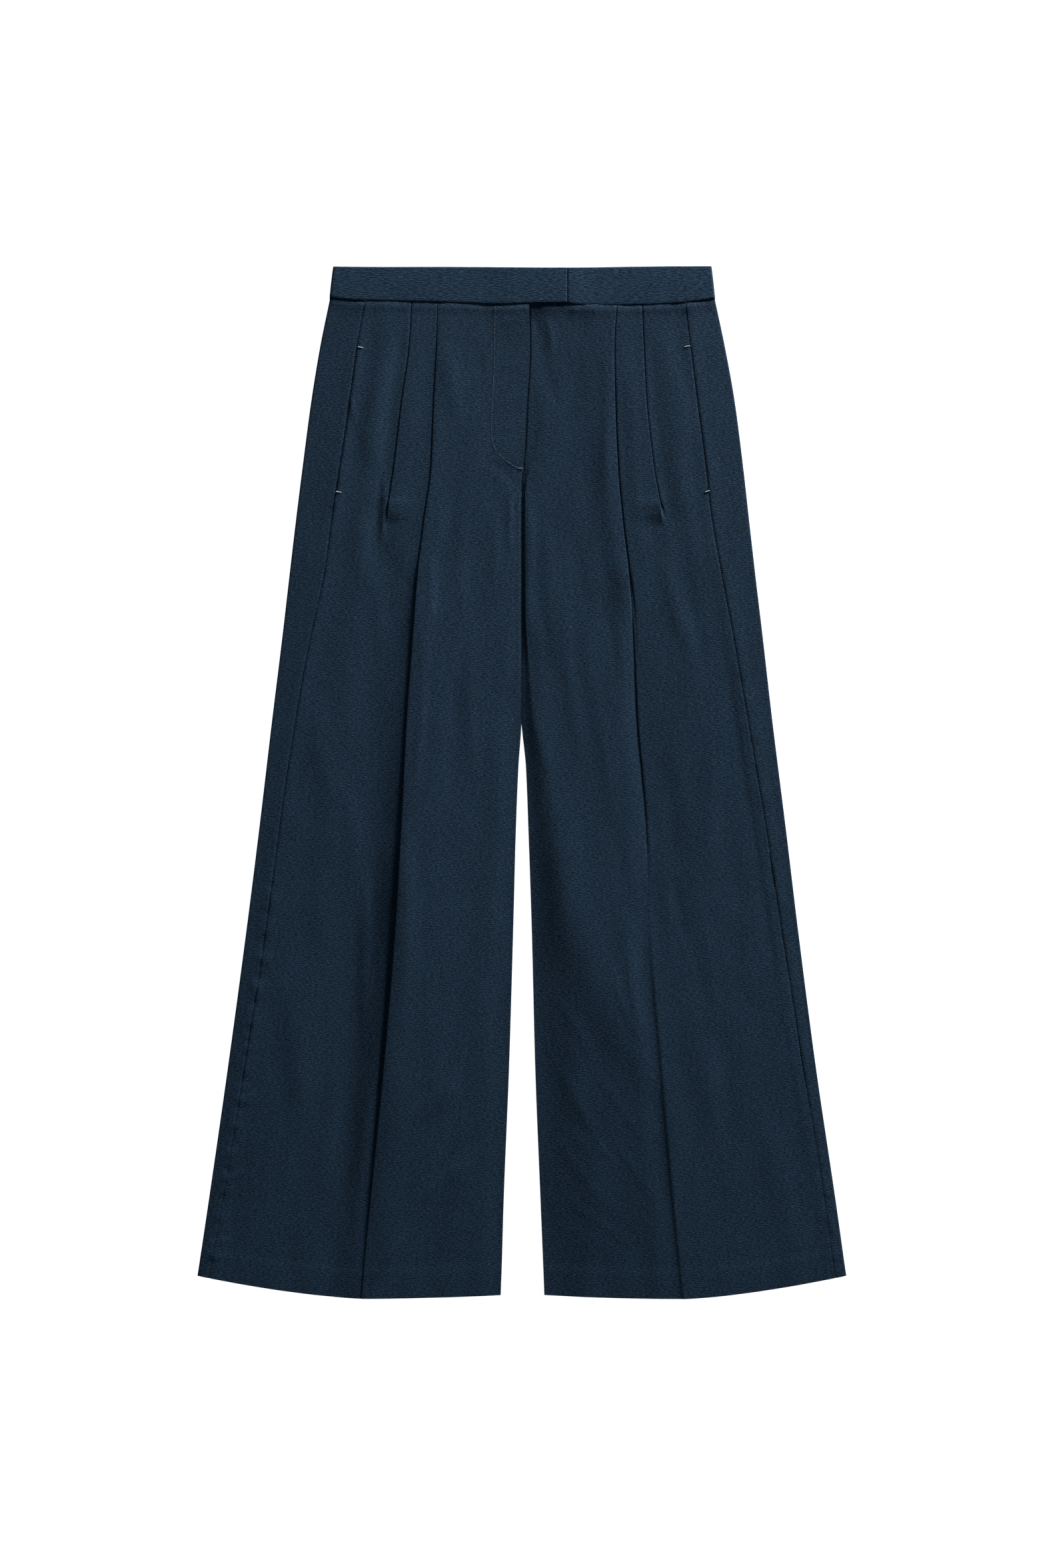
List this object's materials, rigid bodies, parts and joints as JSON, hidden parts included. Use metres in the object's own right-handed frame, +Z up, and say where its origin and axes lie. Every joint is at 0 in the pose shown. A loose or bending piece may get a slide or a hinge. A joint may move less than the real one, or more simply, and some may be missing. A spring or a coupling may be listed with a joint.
{
  "type": "pleated wide-leg trousers",
  "caption": "Pleated wide-leg trousers laid flat face up, with a tabbed waistband, fly, side-seam pockets, outward pleats and pressed creases.",
  "frame": {"origin": "centre of the bounding box in plan, on the surface that the trousers lie on", "axes": "+Y from the hems to the waistband, +X to the wearer's left, +Z up from the surface through the back to the front"},
  "size_m": [0.6614, 1.0534, 0.007],
  "materials": {
    "navy_linen": "plain-woven navy linen blend, matt with fine slubs",
    "navy_linen_band": "the same cloth doubled and interfaced, pressed flat",
    "pocketing": "plain dark pocket cloth and zip tape",
    "dark_steel": "satin steel of the hidden trouser hook and bar"
  },
  "bodies": {
    "root": {"front_right": "navy_linen", "front_left": "navy_linen", "back_right": "navy_linen", "back_left": "navy_linen", "waistband_right": "navy_linen_band", "waistband_left": "navy_linen_band", "pocket_bag_right": "pocketing", "pocket_bag_left": "pocketing", "fly_zip": "pocketing", "waist_hook": "dark_steel", "waist_bar": "dark_steel"}
  },
  "joints": []
}
